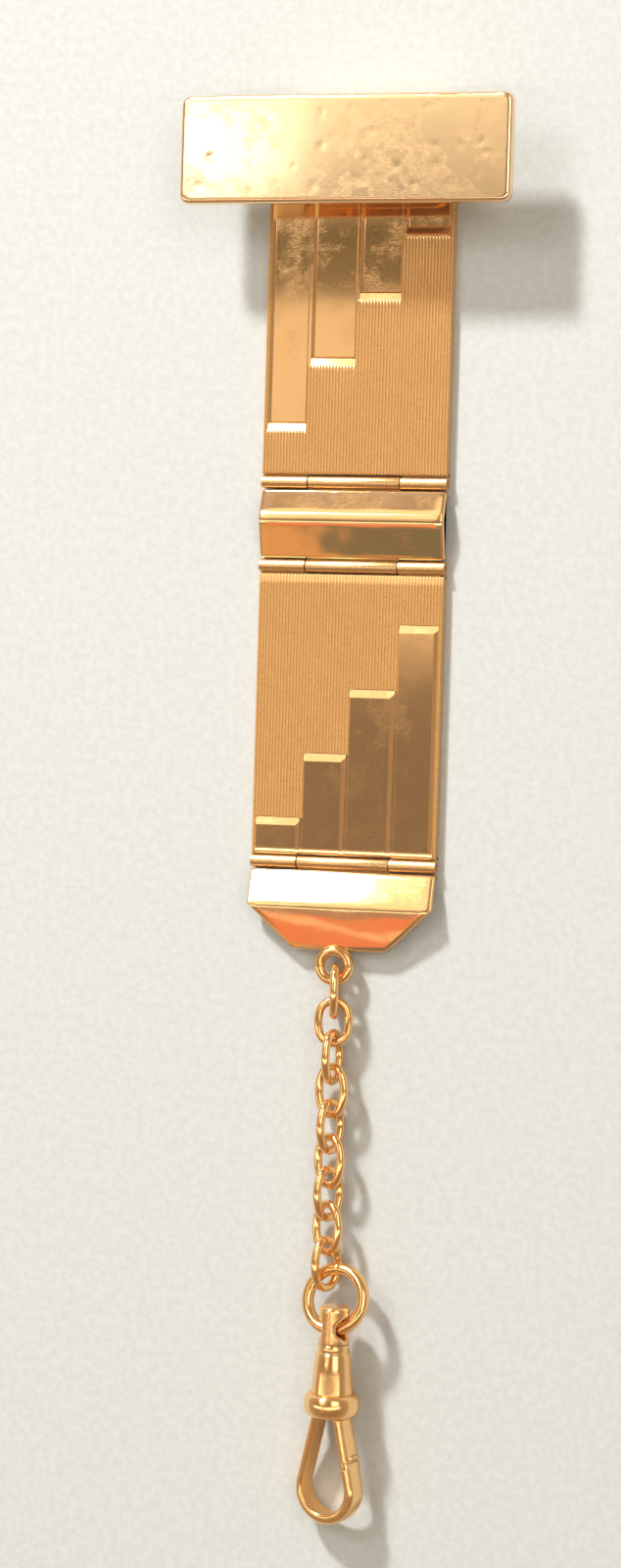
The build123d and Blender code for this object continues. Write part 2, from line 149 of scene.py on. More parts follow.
# Each card: range across, range along, colour, softness across, softness along, strength. Later ones lie in front.
CARDS = (
    ((0.35, 0.95), (0.05, 0.75), (3.0, 2.8, 2.5), 0.08, 0.08, 1.0),               # chain and swivel, right side
    ((-0.62, -0.24), (-0.10, 0.30), (0.46, 0.35, 0.25), 0.05, 0.05, 1.0),         # dim ground for bar and panels
    ((-0.37, -0.26), (0.040, 0.0965), (0.95, 0.78, 0.60), 0.02, 0.004, 1.0),      # upper panel's steps
    ((-0.33, -0.22), (0.1200, 0.16), (0.76, 0.63, 0.49), 0.04, 0.001, 1.0),       # right part of the bar
    ((-0.31, -0.27), (0.015, 0.040), (0.85, 0.68, 0.55), 0.01, 0.004, 1.0),       # lower panel's last step, top
    # Dark card: its reflection paints the bar's shade over the top of the upper panel's steps.
    ((-0.38, -0.26), (0.0985, 0.1185), (0.10, 0.085, 0.05), 0.01, 0.001, 1.0),    # dark band on the upper steps
    ((-0.62, -0.372), (0.1200, 0.30), (4.6, 4.4, 4.2), 0.042, 0.001, 1.0),        # left part of the bar
    ((-0.62, -0.22), (0.165, 0.88), (1.35, 1.22, 0.95), 0.04, 0.03, 1.0),         # cap's upper facet, hinges
    ((-0.62, -0.30), (0.93, 1.30), (0.46, 0.42, 0.48), 0.06, 0.02, 1.0),          # middle link's upper facet
    ((-0.335, -0.15), (-0.12, -0.002), (0.12, 0.085, 0.06), 0.015, 0.012, 1.0),   # lower panel's steps
    ((-1.70, 1.30), (-0.30, -0.174), (3.4, 3.2, 2.8), 0.2, 0.008, 1.0),           # hinges' lower sides, collar
    ((-0.42, -0.245), (-0.46, -0.224), (0.92, 0.25, 0.11), 0.02, 0.004, 1.0),     # cap's lower facet
    ((-0.42, -0.245), (-0.285, -0.224), (0.42, 0.25, 0.21), 0.02, 0.006, 1.0),    # darker top of that facet
)
FRONT_CARDS = (
    ((-0.366, -0.15), (-0.64, -0.475), (0.11, 0.12, 0.09), 0.003, 0.01, 1.0),     # middle link's lower facet, right
    ((-0.62, -0.366), (-0.64, -0.475), (0.78, 0.42, 0.18), 0.003, 0.01, 1.0),     # the same facet, left
    ((-0.352, -0.337), (-0.60, -0.545), (0.80, 0.34, 0.12), 0.012, 0.01, 0.8),    # warm patch between them
)
colour = w.mix(w.ramp(axes.outputs[2], 0.05, 0.75), (0.46, 0.38, 0.31), (0.31, 0.21, 0.13))
for settings in CARDS:
    colour = card(colour, *settings)
# A pale streak that runs slantwise over the cap's lower facet.
slant = w.math("ADD", w.math("ADD", along, 0.34), w.math("MULTIPLY", w.math("ADD", across, 0.335), 1.2))
streak = w.math("MULTIPLY", band(w, slant, -0.016, 0.012, 0.012), band(w, along, -0.44, -0.27, 0.01))
colour = w.mix(w.math("MULTIPLY", streak, 0.7), colour, (1.2, 0.85, 0.60))
for settings in FRONT_CARDS:
    colour = card(colour, *settings)
below = w.ramp(axes.outputs[2], -0.05, 0.02, 1.0, 0.0)
colour = w.mix(below, colour, (0.30, 0.29, 0.28))
back = w.add("ShaderNodeBackground", {0: colour, 1: 1.0})
w.add("ShaderNodeOutputWorld", {0: back.outputs[0]})


# ------------------------------------------------------------------ lights
def area(name, location, width, height, power, colour):
    """A rectangular lamp that points at the origin."""
    data = bpy.data.lights.new(name, "AREA")
    data.shape = "RECTANGLE"
    data.size = width
    data.size_y = height
    data.energy = power
    data.color = colour
    lamp = bpy.data.objects.new(name, data)
    bpy.context.scene.collection.objects.link(lamp)
    lamp.location = location
    lamp.rotation_euler = (-Vector(location)).to_track_quat("-Z", "Y").to_euler()


KEY_DIRECTION = Vector((-0.36, 0.79, 0.50)).normalized()
KEY_DISTANCE = 0.9
area("key", KEY_DIRECTION * KEY_DISTANCE, 0.085, 0.085, 10.5, (1.0, 0.97, 0.92))
area("window", (-0.290, 0.30, 0.50), 0.20, 0.17, 0.75, (1.0, 0.99, 0.96))


# ------------------------------------------------------------------ materials
HAIRLINES = ((0.25, 9.0), (1.15, 7.0), (-0.7, 8.0))     # angle and stretch of each set


def metal(name, colour, deep, worn, rough, scratches=0.5, clouds=0.4, bevel=0.12, grain=0.25, bump=0.2,
          metallic=1.0, rounding=False, pitted=1.0, painted_crevice_shade=0.75):
    """Metal with colour clouds, painted shade in the corners (from ambient occlusion), worn pale edges, hairlines
    and small pits.

    colour, deep and worn are the base, cloud and edge colours. bevel is in millimetres, and with
    rounding it also softens the shading of the edges. The last setting scales the painted shade in the corners.
    """
    material = bpy.data.materials.new(name)
    material.use_nodes = True
    t = Tree(material.node_tree)
    shader = t.nodes["Principled BSDF"]
    shader.inputs["Metallic"].default_value = metallic
    where = t.add("ShaderNodeTexCoord").outputs["Object"]
    spot = t.add("ShaderNodeMapping", {0: where, 3: (1000, 1000, 1000)}).outputs[0]
    cloud = t.add("ShaderNodeTexNoise",
                  {"Vector": spot, "Scale": 0.35, "Detail": 5.0, "Roughness": 0.6}).outputs[0]
    fine = t.add("ShaderNodeTexNoise",
                 {"Vector": spot, "Scale": 6.0, "Detail": 4.0, "Roughness": 0.7}).outputs[0]
    hair = None
    for angle, stretch in HAIRLINES:
        slewed = t.add("ShaderNodeMapping", {0: spot, 2: (0.1, 0.2, angle), 3: (1.0, stretch, 1.0)})
        lines = t.add("ShaderNodeTexNoise", {"Vector": slewed.outputs[0], "Scale": 1.1, "Detail": 2.0})
        thin = t.math("ABSOLUTE", t.math("SUBTRACT", lines.outputs[0], 0.5))
        thin = t.ramp(thin, 0.0, 0.012, 1.0, 0.0)
        hair = thin if hair is None else t.math("MAXIMUM", hair, thin)
    patch = t.ramp(cloud, 0.45, 0.62)
    hair = t.math("MULTIPLY", hair, patch)
    pits = t.add("ShaderNodeTexVoronoi",
                 {"Vector": spot, "Scale": 1.3, "Randomness": 1.0}).outputs["Distance"]
    pits = t.ramp(pits, 0.0, 0.07, 1.0, 0.0)
    normal = t.add("ShaderNodeNewGeometry").outputs["Normal"]
    soft = t.add("ShaderNodeBevel", {"Radius": bevel * MM}, samples=6).outputs[0]
    agree = t.add("ShaderNodeVectorMath", {0: normal, 1: soft}, operation="DOT_PRODUCT").outputs["Value"]
    edge = t.ramp(agree, 0.80, 0.995, 1.0, 0.0)
    edge = t.math("MULTIPLY", edge, t.ramp(fine, 0.25, 0.6))
    # Ambient occlusion: used to paint shade into the base colour in corners and crevices, and to roughen them.
    shut = t.add("ShaderNodeAmbientOcclusion", {"Distance": 0.5 * MM}, samples=6).outputs["AO"]
    shut = t.ramp(shut, 0.15, 0.75, 1.0, 0.0)
    shade = t.mix(t.ramp(cloud, 0.3, 0.7, 0.0, clouds), colour, deep)
    # Painted shade: corners and crevices are darkened towards a deep colour.
    shade = t.mix(t.math("MULTIPLY", shut, painted_crevice_shade), shade, tuple(0.55 * c for c in deep))
    shade = t.mix(t.math("MULTIPLY", edge, 0.6), shade, worn)
    shade = t.mix(t.math("MULTIPLY", pits, 0.4 * pitted), shade, tuple(0.6 * c for c in deep))
    t.links.new(shade, shader.inputs["Base Color"])
    gloss = t.ramp(fine, 0.3, 0.7, rough * 0.75, rough * 1.35, smooth=False)
    gloss = t.math("ADD", gloss, t.math("MULTIPLY", hair, 0.12 * scratches))
    gloss = t.math("ADD", gloss, t.math("MULTIPLY", edge, 0.06))
    gloss = t.math("ADD", gloss, t.math("MULTIPLY", shut, 0.12), clamp=True)
    t.links.new(gloss, shader.inputs["Roughness"])
    height = t.math("MULTIPLY", hair, -0.6 * scratches)
    height = t.math("ADD", height, t.math("MULTIPLY", pits, -1.2 * pitted))
    height = t.math("ADD", height, t.math("MULTIPLY", fine, grain))
    bump_inputs = {"Strength": bump, "Distance": 0.01 * MM, "Height": height}
    if rounding:
        bump_inputs["Normal"] = soft
    bumped = t.add("ShaderNodeBump", bump_inputs).outputs[0]
    t.links.new(bumped, shader.inputs["Normal"])
    return material


MATERIALS = {
    "bar_gold": metal("bar_gold", (0.96, 0.72, 0.44), (0.93, 0.62, 0.33), (0.98, 0.86, 0.62),
                      0.09, 0.9, 0.35, metallic=0.93),
    "panel_gold": metal("panel_gold", (0.93, 0.60, 0.29), (0.88, 0.51, 0.21), (0.97, 0.75, 0.42),
                        0.045, 0.5, 0.15, bump=0.06, metallic=0.88),
    # The ribs get only a little painted shade in their grooves (last setting).
    "ribbed_gold": metal("ribbed_gold", (0.64, 0.38, 0.15), (0.57, 0.31, 0.11), (0.82, 0.62, 0.30),
                         0.30, 0.2, 0.3, bevel=0.05, grain=0.05, bump=0.05, metallic=0.45,
                         pitted=0.0, painted_crevice_shade=0.15),
    "plate_gold": metal("plate_gold", (0.86, 0.57, 0.28), (0.74, 0.40, 0.16), (0.92, 0.70, 0.40),
                        0.30, 0.6),
    "link_gold": metal("link_gold", (0.95, 0.58, 0.25), (0.86, 0.44, 0.15), (0.98, 0.78, 0.46),
                       0.12, 0.5, 0.3, bevel=0.08, metallic=0.92),
    "swivel_gold": metal("swivel_gold", (0.95, 0.60, 0.27), (0.86, 0.46, 0.17), (0.98, 0.78, 0.46),
                         0.14, 0.5, 0.3, bevel=0.24, metallic=0.92, rounding=True),
    "steel": metal("steel", (0.60, 0.58, 0.55), (0.42, 0.36, 0.30), (0.74, 0.72, 0.68), 0.30, 0.6),
}
for part in frame["record"]["subparts"]:
    node = frame["nodes"][part["node"]]
    node.data.materials.clear()
    node.data.materials.append(MATERIALS[part["material_slot"]])


# ------------------------------------------------------------------ mesh helpers
def add_piece(name, points, faces, body, slot, replaced=(), materials=(), face_slots=None, sharp=35.0):
    """A mesh piece from points in millimetres, riding on a body."""
    mesh = bpy.data.meshes.new(name)
    places = (np.asarray(points, float) * MM).tolist()
    mesh.from_pydata(places, [], [tuple(int(i) for i in face) for face in faces])
    for material in materials or (slot,):
        mesh.materials.append(MATERIALS[material])
    if face_slots is not None:
        mesh.polygons.foreach_set("material_index", np.asarray(face_slots, int))
    mesh.polygons.foreach_set("use_smooth", np.ones(len(mesh.polygons), bool))
    mesh.set_sharp_from_angle(angle=radians(sharp))
    mesh.update()
    piece = bpy.data.objects.new(name, mesh)
    bpy.context.scene.collection.objects.link(piece)
    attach(piece, body)
    if replaced:
        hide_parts(*replaced)
    return piece


def grid_faces(rows, columns):
    """Quads of a grid whose points run row by row."""
    r, c = np.meshgrid(np.arange(rows - 1), np.arange(columns - 1), indexing="ij")
    a = (r * columns + c).ravel()
    return np.stack([a, a + 1, a + columns + 1, a + columns], 1).tolist()


def edge_drop(distance, radius):
    """How far a quarter-round edge lies below its face, at a distance in from the edge."""
    inside = np.clip(radius - distance, 0.0, radius)
    return radius - np.sqrt(np.maximum(radius ** 2 - inside ** 2, 0.0))


def waves(x, y, count, shortest, longest):
    """A smooth seeded ripple, about -1 to 1."""
    total = np.zeros(np.broadcast(x, y).shape)
    for _ in range(count):
        length = rng.uniform(shortest, longest)
        angle = rng.uniform(0, pi)
        total += np.cos(2 * pi * (x * cos(angle) + y * sin(angle)) / length + rng.uniform(0, 2 * pi))
    return total / count


def merge(parts):
    """One point list and face list from several."""
    points, faces = [], []
    for part_points, part_faces in parts:
        start = len(points)
        points.extend(np.asarray(part_points, float).tolist())
        faces.extend([[start + i for i in face] for face in part_faces])
    return points, faces


# ------------------------------------------------------------------ places from the frame
hinge_clip, hinge_upper = place("clip_hinge"), place("upper_hinge")
hinge_middle, hinge_cap = place("middle_hinge"), place("cap_hinge")
HALF, _, TOP = node_box("lower_panel_face")[1]      # strap's half width and its upper face
SETBACK = 0.72                          # plate edge, from its hinge axis
PANEL = hinge_middle[1] - hinge_cap[1]  # between a panel's hinge axes


# ------------------------------------------------------------------ panel faces
LINES = (0.25, 4.8, 9.1, 13.7, 17.75)   # step edges, across from the shortest step
RISE = 6.05                             # from one step's end to the next
LINE = 0.3                              # width of the line between two steps
GROUND = 0.08                           # ribbed ground, below the steps
LINE_DEPTH = 0.03                       # line between two steps, below the ground
RIB = 0.306
RIB_DEPTH = 0.11
SHEET = 0.3
STEP_DROP = 0.004                       # steps, below the highest point
STEP_RIPPLE = 0.0035
STEP_LIP, STEP_LIP_DROP = 0.05, 0.06    # small bevel along the steps' other side
CUT = 0.72                              # slanted bright cut across the end of each step
CUT_SLOPE = tan(radians(13))
CUT_WALL = tan(radians(68))
FACET, FACET_DROP = 0.36, 0.068         # shallow bevel along one side of each step
EDGE, END_EDGE = 0.14, 0.18             # rounding along the panel's sides and at its ends
BAND = 0.85                             # slanted border at the panel's far end


def panel_axes(tops):
    """Sample places across and along a panel, close together where its relief is steep."""
    across = [np.arange(0, 2 * HALF + 1e-6, RIB / 8)]
    for line in LINES:
        for side in (line - LINE / 2, line + LINE / 2):
            across.append(np.array([side - 0.05, side, side + 0.05]))
        across.append(np.array([line - LINE / 2 - FACET]))
    for side in (0.0, 2 * HALF):
        across.append(side + np.sign(HALF - side) * np.array([0, 0.01, 0.03, 0.06, 0.1, EDGE]))
    along = [np.arange(SETBACK, PANEL - SETBACK, 0.9), np.array([PANEL - SETBACK])]
    for top in tops:
        along.append(np.arange(top - CUT - 0.15, top + 0.2, 0.045))
    along.append(PANEL - SETBACK - BAND + np.arange(-0.25, BAND, 0.06))
    for side in (SETBACK, PANEL - SETBACK):
        along.append(side + np.sign(PANEL / 2 - side) * np.array([0, 0.01, 0.03, 0.06, 0.1, 0.2]))
    cleaned = []
    for values, high in ((across, 2 * HALF), (along, PANEL - SETBACK)):
        low = 0.0 if values is across else SETBACK
        merged = np.unique(np.round(np.clip(np.concatenate(values), low, high), 4))
        keep = np.concatenate([[True], np.diff(merged) > 0.004])
        merged = merged[keep]
        merged[-1] = high
        cleaned.append(merged)
    return cleaned


def panel_heights(u, v, tops, up):
    """Height of the engraved face. up is +1 where the steps grow towards the clip."""
    ribs = TOP - GROUND - RIB_DEPTH / 2 + RIB_DEPTH * np.abs(np.sin(pi * u / RIB))
    z = ribs.copy()
    polished = np.zeros(z.shape, bool)
    ripple = STEP_RIPPLE * waves(u, v, 7, 6.0, 16.0)
    for k, top in enumerate(tops):
        left, right = LINES[k] + LINE / 2, LINES[k + 1] - LINE / 2
        flat = TOP - STEP_DROP + ripple
        side = np.minimum((u - left) / STEP_LIP * STEP_LIP_DROP, (right - u) * (FACET_DROP / FACET))
        near = (u >= left - 0.01) & (u <= right + 0.01)
        column = np.where(near, flat + np.minimum(side - STEP_LIP_DROP, 0.0), 0)
        column = np.where(u > right - FACET, flat - (u - right + FACET) * (FACET_DROP / FACET), column)
        inside = (u >= left - 0.001) & (u <= right + 0.001)
        z = np.where(inside & (v <= top + 1e-6), column, z)
        polished |= inside & (v <= top + 1e-6)
        if k:
            gap = (u > LINES[k] - LINE / 2) & (u < LINES[k] + LINE / 2) & (v < tops[k - 1])
            z = np.where(gap, TOP - GROUND - LINE_DEPTH, z)
            polished |= gap
        if up > 0:
            lowest, low_z = top, TOP - CUT * CUT_SLOPE
            groove = low_z + np.where(v < lowest, (lowest - v) * CUT_SLOPE, (v - lowest) * CUT_WALL)
        else:
            lowest, low_z = top - CUT, TOP - GROUND - CUT * CUT_SLOPE
            groove = low_z + np.where(v > lowest, (v - lowest) * CUT_SLOPE, (lowest - v) * CUT_WALL)
        cut = inside & (groove < z) & (np.abs(v - top) < CUT + 0.3)
        z = np.where(cut, groove, z)
        polished |= cut
    end = PANEL - SETBACK
    if up > 0:
        slant = (TOP - GROUND + 0.02 - (v - end + BAND) * CUT_SLOPE * 0.8
                 + 0.35 * (ribs - TOP + GROUND))
        z = np.where(v > end - BAND, np.minimum(z, slant), z)
    z = z - edge_drop(np.minimum(u, 2 * HALF - u), EDGE)
    z = z - edge_drop(np.minimum(v - SETBACK, end - v), END_EDGE)
    return z, polished


def panel_face(name, body, start_y, up, first_step, replaced):
    """An engraved face, folded down round its sides, from its hinge axis at start_y."""
    tops = [first_step + k * RISE for k in range(4)]
    across, along = panel_axes(tops)
    v, u = np.meshgrid(along, across, indexing="ij")
    z, polished = panel_heights(u, v, tops, up)
    x = up * (u - HALF)
    y = start_y + up * v
    rows, columns = z.shape
    points = np.stack([x.ravel(), y.ravel(), z.ravel()], 1)
    faces = grid_faces(rows, columns)
    shine = polished.astype(float)
    middle = 0.25 * (shine[:-1, :-1] + shine[1:, :-1] + shine[:-1, 1:] + shine[1:, 1:])
    slots = (middle.ravel() < 0.5).astype(int).tolist()
    extra = []
    for row in (0, rows - 1):
        for px, pz in ((-HALF, 0.0), (-HALF + SHEET, 0.0), (-HALF + SHEET, TOP - SHEET),
                       (HALF - SHEET, TOP - SHEET), (HALF - SHEET, 0.0), (HALF, 0.0)):
            extra.append((up * px, start_y + up * along[row], pz))
    base = len(points)
    points = np.vstack([points, np.array(extra)])
    first_row = list(range(columns))
    last_row = [(rows - 1) * columns + c for c in range(columns)]
    near, far = [base + i for i in range(6)], [base + 6 + i for i in range(6)]
    left_side = [r * columns for r in range(rows)]
    right_side = [r * columns + columns - 1 for r in range(rows)]
    more = [left_side + [far[0], near[0]], right_side[::-1] + [near[5], far[5]]]
    for i in range(5):
        more.append([near[i], far[i], far[i + 1], near[i + 1]])
    more.append(first_row[::-1] + near)
    more.append(last_row + far[::-1])
    faces += more
    slots += [0] * len(more)
    add_piece(name, points, faces, body, "panel_gold", replaced, ("panel_gold", "ribbed_gold"), slots)


UPPER_FIRST, LOWER_FIRST = 4.7, 4.1     # end of each panel's shortest step, from its hinge axis
panel_face("engraved_face_lower", "lower_panel", hinge_cap[1], 1, LOWER_FIRST, ("lower_panel_face",))
panel_face("engraved_face_upper", "upper_panel", hinge_clip[1], -1, UPPER_FIRST, ("upper_panel_face",))


# ------------------------------------------------------------------ bent pieces of the strap
ARC_STEPS = 10
LONGEST = 0.35                          # longest run of a bent sheet's outer line
BENT = 0.5                              # sheet thickness
RIDGE = 1.95                            # height of both ridges
BEND = 0.28                             # bend radius at a hinge edge
LINK_RIDGE, LINK_RIDGE_BEND = 3.35, 2.3     # middle link's ridge: from its upper hinge, and its radius
CAP_RIDGE, CAP_RIDGE_BEND = 4.0, 1.5        # the same for the end cap
EDGE_Z, LIP_Z, LOW_HALF = 1.4, 0.5, 4.55    # cap's bottom edge: top, underside and half width
CAP_EDGE_BEND, CAP_CROWN = 0.25, 0.045
KNUCKLE, KNUCKLE_X, KNUCKLE_BEVEL = 0.6, 4.45, 0.06     # radius, half length and end bevel
BORE = 0.35
NECK = 0.45                             # height of a knuckle's neck


def rounded(points, radii):
    """A polyline with its corners rounded by arcs."""
    points = [np.array(p, float) for p in points]
    out = [points[0]]
    for i in range(1, len(points) - 1):
        radius = radii[i]
        before, after = points[i - 1] - points[i], points[i + 1] - points[i]
        before, after = before / np.linalg.norm(before), after / np.linalg.norm(after)
        angle = np.arccos(np.clip(before @ after, -1, 1))
        if radius <= 0 or angle > pi - 1e-3:
            out.append(points[i])
            continue
        reach = radius / tan(angle / 2)
        centre = points[i] + (before + after) / np.linalg.norm(before + after) * radius / sin(angle / 2)
        start, end = points[i] + before * reach - centre, points[i] + after * reach - centre
        sweep = pi - angle
        for k in range(ARC_STEPS + 1):
            t = k / ARC_STEPS
            out.append(centre + (start * sin((1 - t) * sweep) + end * sin(t * sweep)) / sin(sweep))
    out.append(points[-1])
    return np.array(out)


def resample(line):
    """The polyline with extra points so that no run is longer than LONGEST."""
    out = [line[0]]
    for a, b in zip(line[:-1], line[1:]):
        count = max(1, int(np.ceil(np.linalg.norm(b - a) / LONGEST)))
        out += [a + (b - a) * k / count for k in range(1, count + 1)]
    return np.array(out)


def bulged(line, low, high, rise):
    """The (y, z) line with a slight crown between two places along it."""
    line = resample(line)
    share = np.clip((line[:, 0] - low) / (high - low), 0, 1)
    return np.stack([line[:, 0], line[:, 1] + rise * 4 * share * (1 - share)], 1)


def bent_sheet(outline, inner, half_at, end_radius, wobble, sag):
    """A bent sheet: outer and inner (y, z) lines run across X, with rounded ends.

    half_at(y) is the half width. wobble sets its ripple, and sag how far its ends lie low.
    """
    outer = resample(outline)
    loop = np.vstack([outer, inner[::-1]])
    count = len(outer)
    step = np.roll(outer, -1, 0) - np.roll(outer, 1, 0)
    step[0], step[-1] = outer[1] - outer[0], outer[-1] - outer[-2]
    normal = np.stack([-step[:, 1], step[:, 0]], 1)
    normal /= np.linalg.norm(normal, axis=1)[:, None]
    if normal[count // 2, 1] < 0:
        normal = -normal
    near = end_radius * (1 - np.cos(np.linspace(0, pi / 2, 7)))
    inside = np.linspace(0, 1, 25)[1:-1]
    shares = [("left", d) for d in near] + [("mid", s) for s in inside] + [("right", d) for d in near[::-1]]
    points = []
    for kind, value in shares:
        for i, (y, z) in enumerate(loop):
            half = half_at(y)
            if kind == "left":
                x, distance = -half + value, value
            elif kind == "right":
                x, distance = half - value, value
            else:
                x, distance = (-half + end_radius) + value * 2 * (half - end_radius), end_radius
            if i < count:
                drop = float(edge_drop(np.array(distance), end_radius))
                ripple = wobble * (0.006 * sin(x * 0.9 + y * 1.7) + 0.004 * cos(x * 2.1 - y))
                ripple -= sag * (x / half) ** 2
                y, z = y - normal[i, 0] * (drop - ripple), z - normal[i, 1] * (drop - ripple)
            points.append((x, y, z))
    size = len(loop)
    faces = []
    for r in range(len(shares) - 1):
        for i in range(size):
            j = (i + 1) % size
            faces.append([r * size + i, r * size + j, (r + 1) * size + j, (r + 1) * size + i])
    faces.append(list(range(size))[::-1])
    last = (len(shares) - 1) * size
    faces.append([last + i for i in range(size)])
    return points, faces


def curl(axis, inward):
    """A rolled knuckle with its neck, a (y, z) section with a bore, run along X."""
    y, z = axis
    start = -asin((z - NECK) / KNUCKLE) if NECK < z else 0.0
    turn = np.linspace(-pi / 2, pi - start, 40)
    outer = [(y + inward * SETBACK, 0.0)]
    outer += [(y - inward * KNUCKLE * cos(a), z + KNUCKLE * sin(a)) for a in turn]
    outer += [(y + inward * SETBACK, NECK)]
    outer = np.array(outer)
    ring = np.linspace(-pi / 2, 3 * pi / 2, 33)[:-1]
    inner = np.array([(y - inward * BORE * cos(a), z + BORE * sin(a)) for a in ring])
    points, faces = [], []
    insets = ((0.0, KNUCKLE_BEVEL), (KNUCKLE_BEVEL * 0.3, KNUCKLE_BEVEL * 0.3), (KNUCKLE_BEVEL, 0.0))
    stations = [(-KNUCKLE_X + step, inset) for step, inset in insets]
    stations += [(KNUCKLE_X - step, inset) for step, inset in insets[::-1]]
    for x, inset in stations:
        scale = 1 - inset / KNUCKLE
        for oy, oz in outer:
            points.append((x, y + (oy - y) * scale if abs(oy - y) < KNUCKLE else oy, z + (oz - z) * scale))
        for iy, iz in inner:
            points.append((x, iy, iz))
    n_out, n_in = len(outer), len(inner)
    size = n_out + n_in
    for s in range(len(stations) - 1):
        for i in range(n_out):
            j = (i + 1) % n_out
            faces.append([s * size + i, s * size + j, (s + 1) * size + j, (s + 1) * size + i])
        for i in range(n_in):
            j = (i + 1) % n_in
            faces.append([s * size + n_out + j, s * size + n_out + i,
                          (s + 1) * size + n_out + i, (s + 1) * size + n_out + j])
    half_out, half_in = n_out // 2, n_in // 2
    for base, flip in ((0, True), ((len(stations) - 1) * size, False)):
        o = [base + i for i in range(n_out)]
        n = [base + n_out + i for i in range(n_in)]
        one = o[1:half_out + 1] + n[:half_in + 1][::-1]
        two = o[half_out:] + [o[0], o[1], n[0]] + n[half_in:][::-1]
        for face in (one, two):
            faces.append(face[::-1] if flip else face)
    return points, faces


def knuckled(name, sheet, curls, body, replaced):
    """A bent sheet in polished gold with its rolled knuckles in the duller plate gold."""
    points, faces = merge([sheet] + curls)
    plain = len(sheet[1])
    slots = [0] * plain + [1] * (len(faces) - plain)
    add_piece(name, points, faces, body, "panel_gold", replaced, ("panel_gold", "plate_gold"), slots)


top_y, low_y = hinge_upper[1] - SETBACK, hinge_middle[1] + SETBACK
ridge_y = hinge_upper[1] - LINK_RIDGE
outer = rounded([(top_y, 0), (top_y, TOP), (ridge_y, RIDGE), (low_y, TOP), (low_y, 0)],
                (0, BEND, LINK_RIDGE_BEND, BEND, 0))
inner = np.array([(top_y - BENT, 0), (top_y - BENT, TOP - BENT), (ridge_y, RIDGE - BENT),
                  (low_y + BENT, TOP - BENT), (low_y + BENT, 0)])
knuckled("ridged_middle_link", bent_sheet(outer, inner, lambda y: HALF, 0.3, 0.3, 0.02),
         [curl(hinge_upper[1:], -1), curl(hinge_middle[1:], 1)], "middle", ("middle_link",))

top_y, low_y = hinge_cap[1] - SETBACK, node_box("end_cap")[0][1]
ridge_y = hinge_cap[1] - CAP_RIDGE
outer = rounded([(top_y, 0), (top_y, TOP), (ridge_y, RIDGE), (low_y, EDGE_Z), (low_y, LIP_Z)],
                (0, BEND, CAP_RIDGE_BEND, CAP_EDGE_BEND, 0))
inner = np.array([(top_y - BENT, 0), (top_y - BENT, TOP - BENT), (ridge_y, RIDGE - BENT),
                  (low_y + BENT, EDGE_Z - BENT), (low_y + BENT, LIP_Z)])


def cap_half(y):
    """The cap's half width, which narrows below its ridge."""
    share = np.clip((y - low_y) / (ridge_y - low_y), 0, 1)
    return LOW_HALF + (HALF - LOW_HALF) * share


knuckled("cornered_end_cap",
         bent_sheet(bulged(outer, low_y + 0.1, ridge_y, CAP_CROWN), inner, cap_half, 0.2, 0.3, 0.05),
         [curl(hinge_cap[1:], -1)], "cap", ("end_cap",))


# ------------------------------------------------------------------ belt clip's bar
DENTS = 40


